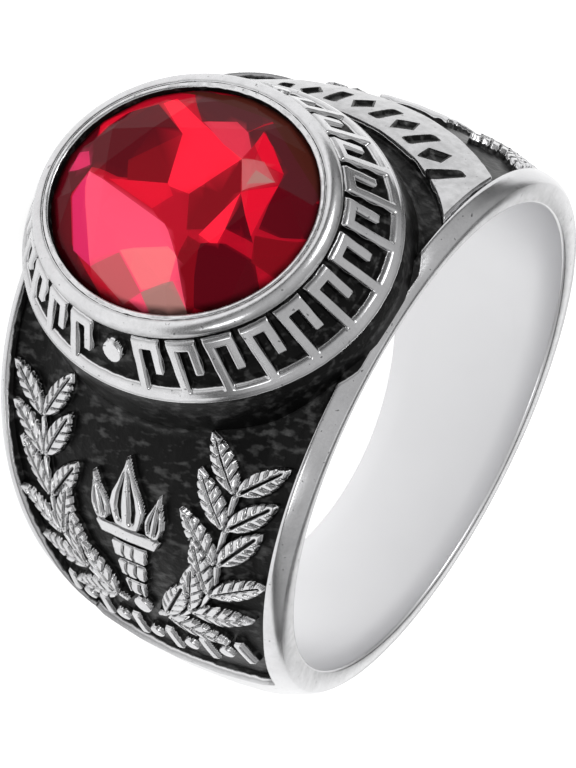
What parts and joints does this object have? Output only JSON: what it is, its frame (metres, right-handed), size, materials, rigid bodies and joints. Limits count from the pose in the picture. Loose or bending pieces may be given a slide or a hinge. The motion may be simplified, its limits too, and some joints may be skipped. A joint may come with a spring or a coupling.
{
  "type": "class ring",
  "caption": "Heavy class ring with an oval faceted stone in a rounded bezel, a collar with a fret and ornamented shoulders that narrow to a plain band.",
  "frame": {"origin": "on the floor under the middle of the ring's box, with the ring lying on one flat side face", "axes": "the stone faces -Y and is tilted up by the side face's taper, the shoulders face +X and -X, and the bore leans from +Z towards +Y"},
  "size_m": [0.0246, 0.028, 0.0166],
  "materials": {
    "ring_metal": "polished silver-coloured steel with a black antique finish in the recesses",
    "red_stone": "faceted deep red glass, polished"
  },
  "bodies": {
    "root": {"ring_casting": "ring_metal", "stone": "red_stone"}
  },
  "joints": []
}
